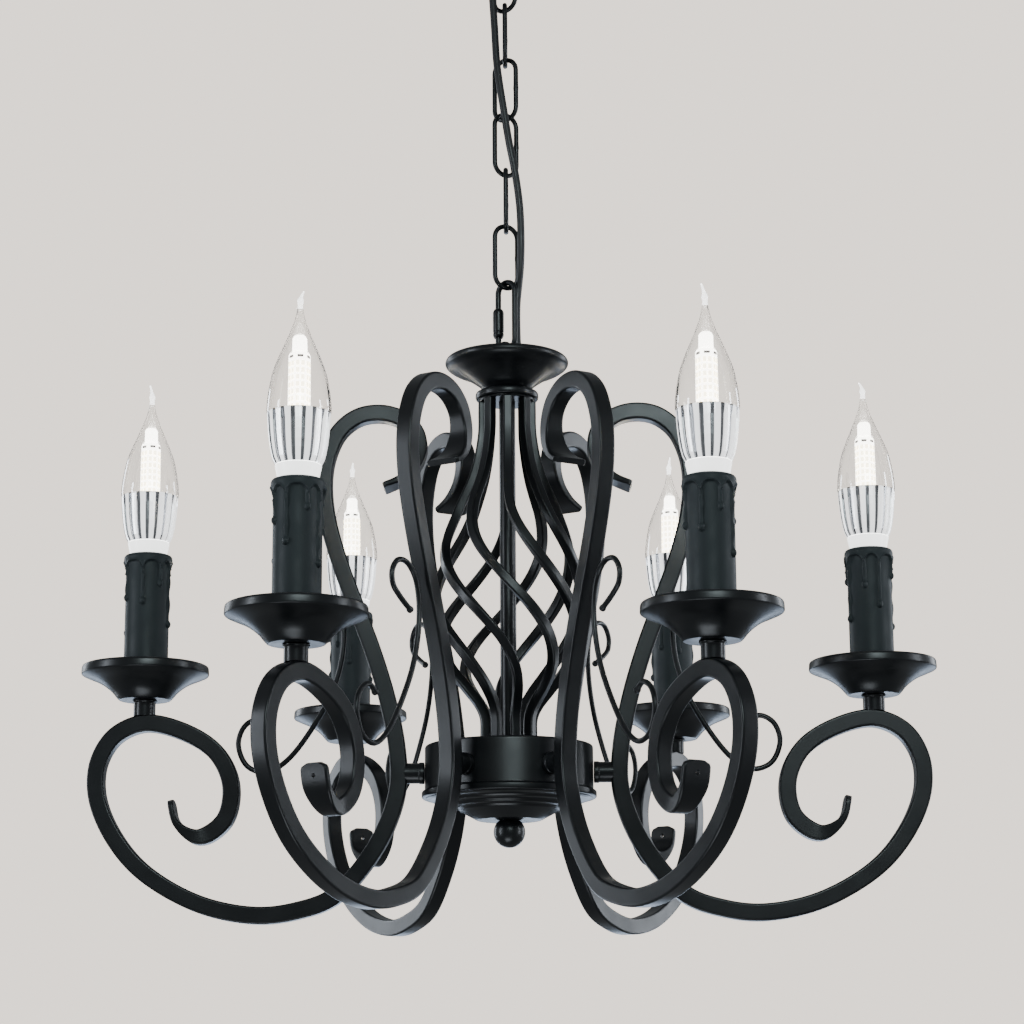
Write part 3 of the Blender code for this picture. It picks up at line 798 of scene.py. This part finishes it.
def add_bowl(paint):
    low, high = BOWL_BOTTOM, BOWL_TOP
    radius = half_width("top_bowl")
    hole = 5.6
    outline = rounded(
        (
            (hole, low, 0), (14.7, low, 1), (16.2, low + 1.8, 2), (20, low + 5.2, 4), (29, low + 11.3, 5),
            (36.5, low + 14.2, 3), (radius - 0.6, low + 17, 2.2), (radius, low + 19.6, 1.6),
            (radius - 1.8, high, 1.6), (36.4, high - 1, 2), (27, low + 15.5, 5), (18, low + 9, 5),
            (13.4, low + 4.5, 2), (hole, low + 4.5, 0),
        ),
        5,
    )
    x, y, _ = CORD_LINE[0]
    bore = circle_section(CORD_RADIUS + 0.4, 24)
    drill = mesh_from_rings([[(x + a, y + b, h) for a, b in bore] for h in (low - 3, low + 9)])
    bowl = painted(cut(turned(outline, 96), drill), paint)
    add_piece("bowl_dish", bowl, "fixture", ["top_bowl"])


def add_eye(paint):
    low, high = span("top_loop")
    flange = BOWL_BOTTOM + 4.8
    shank_top = high - 2 * EYE_RADIUS + 2.5
    shank = turned(
        rounded(
            (
                (0, low, 0), (4, low, 0.3), (4, flange, 0), (6.4, flange, 0.3),
                (6.4, flange + 2.5, 0.7), (4, flange + 4, 0.6), (3.4, shank_top, 0.5),
                (0, shank_top + 0.6, 0),
            )
        ),
        36,
    )
    ring = moved(oval(2 * EYE_RADIUS, 2 * EYE_RADIUS, LOOP_WIRE, 20), height=high - EYE_RADIUS)
    eye = joined(painted(shank, paint), painted(ring, paint))
    add_piece("screw_eye", eye, "fixture", ["top_loop"], turn=QUICK_TURN + 90)


def add_collar(paint):
    low, high, radius = COLLAR_BOTTOM, COLLAR_TOP, COLLAR_RADIUS
    outline = rounded(
        (
            (5.6, low, 0), (17.6, low, 0.8), (18.2, low + 1.4, 0.8), (radius, low + 1.6, 1.8),
            (radius, high - 1.2, 1.8), (18.2, high - 0.6, 0.6), (16.8, high, 0.5), (5.6, high, 0),
        ),
        5,
    )
    add_piece("collar_ring", painted(turned(outline, 80), paint), "fixture", ["cage_collar"])


def cage_radius(height):
    """How far the cage's bars stand from the axis at a height."""
    line = smooth_line(CAGE_SWELL, 10)
    for high, low in zip(line, line[1:]):
        if height >= low.x:
            share = min(max((height - low.x) / (high.x - low.x), 0), 1)
            return low.y + (high.y - low.y) * share
    return line[-1].y


def add_cage(paint):
    top = COLLAR_BOTTOM - 0.3
    bottom = HUB_TOP + 0.5
    half = CAGE_BAR_SIZE / 2
    steps = 110
    parts = []
    for bar in range(CAGE_BARS):
        line = []
        for k in range(steps + 1):
            height = top + (bottom - top) * k / steps
            twist = CAGE_TWIST * ease((CAGE_TWIST_TOP - height) / CAGE_TWIST_LENGTH)
            angle = radians(CAGE_FIRST_BAR + bar * 360 / CAGE_BARS + twist)
            radius = cage_radius(height)
            line.append(Vector((radius * cos(angle), radius * sin(angle), height)))
        outward = [Vector((point.x, point.y, 0)) for point in line]
        sections = [bar_section(half, half, 1.0)] * len(line)
        parts.append(painted(swept(line, sections, outward), paint))
    ring = rounded(
        (
            (11, HUB_TOP + 0.3, 0), (20, HUB_TOP + 0.3, 0.4), (20, HUB_TOP + 2.2, 0.8),
            (18.6, HUB_TOP + 3.3, 0.6), (11, HUB_TOP + 3.3, 0),
        )
    )
    parts.append(painted(turned(ring, 64), paint))
    add_piece("cage_bars", joined(*parts), "fixture", ["twisted_cage"])


def add_centre_tube(paint):
    low, high = span("centre_tube")
    outline = rounded(((4.3, low, 0), (5.3, low, 0.3), (5.3, high, 0.3), (4.3, high, 0)), 2)
    add_piece("stem_tube", painted(turned(outline, 40), paint), "fixture", ["centre_tube"])


def add_hub(paint):
    inner = HUB_RADIUS - 2
    drum = rounded(
        (
            (5.6, HUB_TOP, 0), (HUB_RADIUS, HUB_TOP, 1.8), (HUB_RADIUS, HUB_BOTTOM + 5.0, 0.5),
            (HUB_FLANGE, HUB_BOTTOM + 4.2, 1.0), (HUB_FLANGE, HUB_BOTTOM, 1.4), (inner, HUB_BOTTOM, 0.4),
            (inner, HUB_TOP - 2, 1.5), (5.6, HUB_TOP - 2, 0),
        ),
        5,
    )
    add_piece("hub_shell", painted(turned(drum, 96), paint), "fixture", ["hub_drum"])

    low, high = span("hub_cover")
    hole = 4.3
    cover = rounded(
        (
            (hole, low, 0), (20.5, low, 0.8), (32, low + 6.2, 0.6), (33, low + 7.8, 0.5),
            (38, low + 8.2, 0.8), (39, low + 10.2, 0.5), (44, low + 10.8, 0.8), (45, low + 12.4, 0.5),
            (51, low + 12.8, 0.4), (53.4, high, 0.2), (49, high, 0), (43, low + 13, 0),
            (37, low + 10, 0), (31, low + 8.2, 0), (20, low + 2.2, 0), (hole, low + 2.2, 0),
        ),
        5,
    )
    add_piece("hub_dome", painted(turned(cover, 96), paint), "fixture", ["hub_cover"])

    ball_low, stem_top = span("finial")
    ball = 10.1
    neck_top = low - 0.35
    outline = [(0, ball_low)]
    for degrees in range(8, 133, 6):
        angle = radians(degrees)
        outline.append((ball * sin(angle), ball_low + ball - ball * cos(angle)))
    outline.extend([(7, neck_top), (4, neck_top), (4, stem_top), (0, stem_top)])
    knob = painted(turned(outline, 48), paint)
    add_piece("ball_knob", knob, "fixture", ["finial"])


# Arms


def arm_bar(paint):
    """A square bar whose ends are hammered out: a trumpet above, a round-cornered tongue below."""
    line = smooth_line(ARM_LINE, 9)
    along = distances(line)
    total = along[-1]
    half = BAR_SIZE / 2
    hammered = 1.9  # half thickness of both ends
    mouth = 2.0  # radius of the trumpet's corners
    corner = 4.5  # radius of the tongue's corners
    sections = []
    for gone in along:
        left = total - gone
        flare = max(0.0, 1 - gone / 48)
        thick = half + (hammered - half) * ease(1 - gone / 50)
        wide = half + 6.7 * flare**1.6
        if gone < mouth:
            wide -= mouth - sqrt(mouth**2 - (mouth - gone) ** 2)
        tongue = ease(1 - (left - 10) / 30)
        thick += (hammered - thick) * tongue
        wide += (9.3 - wide) * tongue
        if left < corner:
            wide -= corner - sqrt(corner**2 - (corner - left) ** 2)
        sections.append(bar_section(thick, max(wide, 2.0), 1.3, 4))
    path = in_plane(line)
    level = Vector((0, 1, 0))
    bar = swept(path, sections, [level] * len(path))
    near_tip = path[-1] + (path[-8] - path[-1]).normalized() * 7
    way = (path[-1] - path[-6]).normalized()
    through = way.cross(level)
    bore = circle_section(1.3, 16)
    hole = [[near_tip + through * h + level * a + way * b for a, b in bore] for h in (-6, 6)]
    return painted(cut(bar, mesh_from_rings(hole)), paint)


def lying(mesh, start, height):
    """A piece turned along Z, laid along X from a distance and at a height."""
    turning = Matrix.Rotation(pi / 2, 4, "Y")
    mesh.transform(Matrix.Translation(Vector((start, 0, height)) * MM) @ turning)
    return mesh


def arm_fittings(paint):
    """The spacer tube from the hub, and the stem that carries the pan."""
    start = HUB_RADIUS + 0.3
    length = LEG_REACH - BAR_SIZE / 2 + 0.6 - start  # ends just inside the bar's flat
    waist = SPACER_RADIUS - 0.4
    spacer = rounded(
        (
            (0, 0, 0), (SPACER_RADIUS, 0, 0.5), (SPACER_RADIUS, 3, 0.4), (waist, 3.4, 0.3),
            (waist, length, 0), (0, length, 0),
        )
    )
    top = PAN_BOTTOM - 0.3
    foot = -29.3
    lip = STEM_RADIUS + 0.9
    stem = rounded(
        (
            (0, -32, 0), (5, -32, 0), (5, foot, 0), (STEM_RADIUS, foot, 0.4), (STEM_RADIUS, top - 1.2, 0.6),
            (lip, top - 0.8, 0.4), (lip, top, 0.3), (3.5, top, 0), (3.5, -5, 0), (0, -5, 0),
        )
    )
    tube_part = painted(lying(turned(spacer, 40), start, TUBE_HEIGHT), paint)
    stem_part = painted(moved(turned(stem, 40), ARM_REACH), paint)
    return tube_part, stem_part


def scroll_wire(paint):
    """Round wire with a small ball at each end."""
    wire = 1.75
    ball = 2.3
    line = in_plane(smooth_line(SCROLL_LINE, 12))
    along = distances(line)
    radii = []
    for gone in along:
        end = min(gone, along[-1] - gone)
        radius = wire
        if end < 2 * ball:
            radius = max(wire if end > ball else 0.3, sqrt(max(ball**2 - (end - ball) ** 2, 0)))
        radii.append(radius)
    return painted(tube(line, radii, 14), paint)


def pan_mesh(paint):
    outline = rounded(
        (
            (3.8, PAN_BOTTOM, 0), (16.4, PAN_BOTTOM, 0.6), (18, PAN_BOTTOM + 1.6, 1),
            (21.5, PAN_BOTTOM + 6, 4), (28.5, PAN_BOTTOM + 11.3, 6), (37.5, PAN_BOTTOM + 15, 3),
            (PAN_RADIUS, -2.4, 0.9),
            (PAN_RADIUS - 0.3, 2.6, 1.1), (39.2, PAN_LIP, 1), (36, 2.8, 2.5), (26, -3.2, 6), (18.5, -9, 5),
            (16, PAN_FLOOR, 2), (3.8, PAN_FLOOR, 0),
        ),
        5,
    )
    return painted(turned(outline, 88), paint)


# Candle sleeves and their holders

# Wax runs down a sleeve: (angle in degrees, length down from the edge, half width)
WAX_RUNS = (
    (6, 34, 1.5), (52, 22, 1.3), (88, 48, 1.6), (140, 27, 1.3), (178, 40, 1.5), (228, 20, 1.3),
    (262, 52, 1.6), (312, 31, 1.4),
)
ARCH_RISE = 9.0  # how far the arch between two runs reaches up
ARCH_FOOT = 15.0  # depth at which two arches meet over a run
WAX_COAT = 1.5  # thickness of the coat over the arches


def wax_height(angle, depth):
    """How far the wax stands over the sleeve, by angle and by depth under its edge."""
    thick = 0.0
    places = [place for place, *_ in WAX_RUNS]
    nearest = min(abs((angle - place + 180) % 360 - 180) for place in places)
    for place, length, half in WAX_RUNS:
        off = (angle - place + 180) % 360 - 180
        side = abs(off) * pi / 180 * SLEEVE_RADIUS
        if side < half:
            stop = ease((length - depth) / 1.5)
            swell = 1.0 + 0.35 * sin(depth * 0.42 + place)
            thick = max(thick, 1.15 * swell * sqrt(1 - (side / half) ** 2) * stop)
        bead = (side / (half + 0.5)) ** 2 + ((depth - length + 1.8) / 2.6) ** 2
        if bead < 1:
            thick = max(thick, 2.1 * sqrt(1 - bead))
    rise = ARCH_RISE * sqrt(max(0.0, 1 - (1 - min(nearest, 20) / 20) ** 2.2))
    edge = ARCH_FOOT - rise
    coat = ease((edge - depth) / 0.9)
    lip = exp(-(((depth - edge + 1.0) / 0.8) ** 2))
    return max(thick, WAX_COAT * coat + 0.5 * lip)


def sleeve_mesh(paint):
    """A tube with a coat of wax at its top that hangs down in runs between arches."""
    low = PAN_FLOOR + 0.3
    inner = 12.2
    base = SLEEVE_RADIUS - 0.3
    sides = 180
    wax_rows = 120
    wax_start = 2.6
    wax_end = 60.0
    rings = [ring_at(inner, height, sides) for height in (low, SLEEVE_TOP - 0.6)]
    for shrink, drop in ((2.6, 0.0), (1.6, 0.12), (0.9, 0.5), (0.4, 1.1), (0.1, 1.9)):
        rings.append(ring_at(base + WAX_COAT - shrink, SLEEVE_TOP - drop, sides))
    for row in range(wax_rows + 1):
        depth = wax_start + (wax_end - wax_start) * row / wax_rows
        ring = []
        for a in around(sides):
            radius = base + wax_height(a * 180 / pi, depth)
            ring.append((radius * cos(a), radius * sin(a), SLEEVE_TOP - depth))
        rings.append(ring)
    rings.append(ring_at(base, low, sides))
    return painted(mesh_from_rings(rings, loop=True), paint)


def holder_mesh(plastic, nickel):
    """The lampholder inside a sleeve, with its threaded shell."""
    low = PAN_FLOOR + 0.3
    body = rounded(
        (
            (0, -3, 0), (3.8, -3, 0), (3.8, low, 0), (9.5, low, 1), (9.5, 30, 1), (11.3, 32, 1),
            (11.3, 66, 0.8), (7.9, 66, 0.5), (7.9, 44, 0.5), (0, 44, 0),
        )
    )
    shell = [Vector((7.85, 45))]
    for k in range(26):
        shell.append(Vector((7.5 + (0.2 if k % 2 else 0.0), 46 + k * 0.72)))
    shell.extend([Vector((7.85, 65)), Vector((7.88, 60)), Vector((7.88, 50))])
    return joined(painted(turned(body, 40), plastic), painted(turned(shell, 40), nickel))


# Bulbs


# (height, radius) of the cone's flutes
CONE_PROFILE = (
    (8.6, 13.6), (9.4, 14.0), (12, 15.3), (16, 16.3), (21, 17.2), (27, 17.9), (33, 18.4),
    (38.5, 18.7), (39.5, 18.5),
)
GLASS_PROFILE = (
    (18.4, 39), (18.7, 41), (18.3, 48), (17.1, 56), (15.4, 64), (12.5, 72), (9.1, 80), (5.8, 88),
    (3.0, 96), (1.7, 102.5),
)
# (x, y, height) of the middle of the drawn-out tip, which bends to one side
GLASS_TIP = ((0, 0, 102.5), (0, 0, 104.5), (0.2, 0, 107), (1.0, 0, 109.5), (2.6, 0, 112), (4.6, 0, 114.2))
GLASS_WALL = 1.2


def bulb_foot(ceramic, painted_glow_metal, groove, nickel, plastic):
    """Screw cap, white ring and fluted metal cone."""
    cap = [(0, -31), (2.2, -30.6), (3, -29.2), (4.6, -28.4), (6.4, -26.6)]
    for k in range(23):
        cap.append((6.55 + (0.4 if k % 2 else 0.0), -26 + k * 0.75))
    cap.extend([(6.6, -8.6), (0, -8.6)])
    neck = rounded(((0, -9, 0), (7, -9, 0.5), (10.6, -6, 1.2), (11, 0.3, 0.4), (0, 0.3, 0)))
    ring = rounded(((0, 0.3, 0), (11.9, 0.3, 0.8), (13.6, 8.5, 0.9), (0, 8.6, 0)), 5)
    flutes = 18
    shares = (0.0, 0.28, 0.52, 0.6, 0.74, 0.92)
    groove_faces = (2, 3, 4)  # of the faces between one flute's shares
    rings = []
    for height, radius in CONE_PROFILE:
        fluted = CONE_PROFILE[0][0] < height < CONE_PROFILE[-1][0] - 1
        points = []
        for k in range(flutes):
            for share in shares:
                angle = 2 * pi * (k + share) / flutes
                here = radius - (1.3 if fluted and share > 0.55 else 0.3)
                points.append((here * cos(angle), here * sin(angle), height))
        rings.append(points)
    cone = mesh_from_rings(rings)
    # the flutes take the painted glow and the sunken grooves the painted shade
    cone.materials.append(painted_glow_metal)
    cone.materials.append(groove)
    for face in cone.polygons:
        # every row of faces follows the shares in the same order, and the two caps come last
        in_groove = len(face.vertices) == 4 and face.index % len(shares) in groove_faces
        face.material_index = 1 if in_groove else 0
    return joined(
        painted(turned(cap, 40), nickel),
        painted(turned(neck, 40), plastic),
        painted(turned(ring, 64), ceramic),
        cone,
    )


def bulb_glass(glass, tip_glass):
    """A clear flame with a drawn-out, bent tip."""
    outer = smooth_line(GLASS_PROFILE, 5)
    sides = 48
    rings = []
    for point in reversed(outer):
        inner = point.x - GLASS_WALL
        if inner > 0.6:
            rings.append(ring_at(inner, point.y, sides))
    for point in outer:
        rings.append(ring_at(point.x, point.y, sides))
    tip = smooth_line(GLASS_TIP, 4)
    tip_rings = [rings[-1]]
    side = Vector((0, 1, 0))
    low, high = tip[0].z, tip[-1].z
    for spot, way in list(zip(tip, directions(tip)))[1:]:
        rise = (spot.z - low) / (high - low)
        bead = 0.75 * exp(-(((spot.z - low - 5) / 1.6) ** 2))
        radius = 1.7 - 1.15 * rise + bead
        out = side.cross(way)
        tip_rings.append([spot + out * a + side * b for a, b in circle_section(radius, sides)])
    flame = painted(mesh_from_rings(rings), glass)
    return joined(flame, painted(mesh_from_rings(tip_rings), tip_glass))


def bulb_stick(white, yellow, painted_glow_metal, dark):
    """The light stick: a six-sided board with rows of chips and a smaller cap."""
    sides = 6
    half = 6.6
    cap_half = 4.4
    body = [ring_at(half * r, h, sides) for h, r in ((36, 1.0), (73.5, 0.96), (75, 0.86))]
    cap = [ring_at(cap_half * r, h, sides) for h, r in ((75, 1.0), (84, 0.96), (85.5, 0.75))]
    parts = [painted(mesh_from_rings(body), white), painted(mesh_from_rings(cap), white)]
    reach = half * cos(pi / sides)
    for k in range(sides):
        angle = 2 * pi * (k + 0.5) / sides
        pads = []
        for row in range(7):
            for column in (-1.5, 1.5):
                pads.append((column, 43 + row * 4.2, yellow, 1.0, 1.4))
        pads.append((0, 72.4, dark, 1.7, 0.7))
        for column, height, material, wide, tall in pads:
            section = bar_section(wide, tall, 0.3, 2)
            rings = []
            for out in (-0.5, 0.2):
                rings.append([(reach + out, column + a, height + b) for a, b in section])
            mesh = mesh_from_rings(rings)
            mesh.transform(Matrix.Rotation(angle, 4, "Z"))
            parts.append(painted(mesh, material))
    plate = turned(rounded(((0, 38.4, 0), (17.2, 38.4, 0.3), (17.2, 39.4, 0.3), (0, 39.4, 0))), 48)
    parts.append(painted(plate, painted_glow_metal))
    return joined(*parts)


def add_arms(looks):
    """The six arms with their pans, candles and bulbs. looks holds the materials by name."""
    iron = looks["iron"]
    plastic = looks["plastic"]
    nickel = looks["nickel"]
    painted_glow_metal = looks["aluminium"]
    arm = joined(arm_bar(iron), *arm_fittings(iron))
    wire = scroll_wire(iron)
    pan = pan_mesh(iron)
    sleeve = sleeve_mesh(looks["wax"])
    holder = holder_mesh(plastic, nickel)
    foot = bulb_foot(looks["ceramic"], painted_glow_metal, looks["groove"], nickel, plastic)
    flame = bulb_glass(looks["glass"], looks["tip"])
    stick = bulb_stick(looks["led_white"], looks["led_phosphor"], painted_glow_metal, iron)
    for k in range(ARM_COUNT):
        number = k + 1
        turn = 360 * k / ARM_COUNT
        own_turn = turn + 110 * number
        x = ARM_REACH * cos(radians(turn))
        y = ARM_REACH * sin(radians(turn))
        fixed = (
            ("scroll_arm", arm, "black_iron", "arm", (0, 0, 0), turn),
            ("wire_curl", wire, "black_iron", "scroll_wire", (0, 0, 0), turn),
            ("pan", pan, "black_iron", "drip_pan", (x, y, 0), turn),
            ("wax_sleeve", sleeve, "candle_sleeve", "candle_sleeve", (x, y, 0), own_turn),
            ("holder", holder, "socket_plastic", "lampholder", (x, y, 0), turn),
        )
        for name, mesh, slot, node, spot, piece_turn in fixed:
            replaced = [f"{node}_{number}"]
            add_piece(f"{name}_{number}", mesh, "fixture", replaced, spot, piece_turn)
        body = f"bulb_{number}"
        spot = (x, y, SLEEVE_TOP)
        add_piece(f"{body}_glass", flame, body, [body], spot, own_turn)
        add_piece(f"{body}_foot", foot, body, (), spot, own_turn)
        add_piece(f"{body}_stick", stick, body, (), spot, own_turn)


def main():
    add_camera()
    add_cord(cord_vinyl())
    add_room()
    looks = {
        "iron": iron_paint(),
        "zinc": zinc_plate(),
        "plastic": holder_plastic(),
        "nickel": nickel_thread(),
        "rubber": grommet_rubber(),
        "wax": wax_paint(),
        "ceramic": ceramic_white(),
        "aluminium": aluminium_painted_glow(),
        "groove": groove_aluminium_painted_shade(),
        "glass": bulb_clear_glass(),
        "tip": bulb_tip_glass(),
        "led_white": led_white(),
        "led_phosphor": led_phosphor(),
    }
    iron = looks["iron"]
    add_ceiling_end(iron, looks["zinc"], looks["plastic"], looks["rubber"], looks["nickel"])
    add_chain(iron)
    add_quick_link(iron)
    add_bowl(iron)
    add_eye(iron)
    add_collar(iron)
    add_cage(iron)
    add_centre_tube(iron)
    add_hub(iron)
    add_arms(looks)


main()
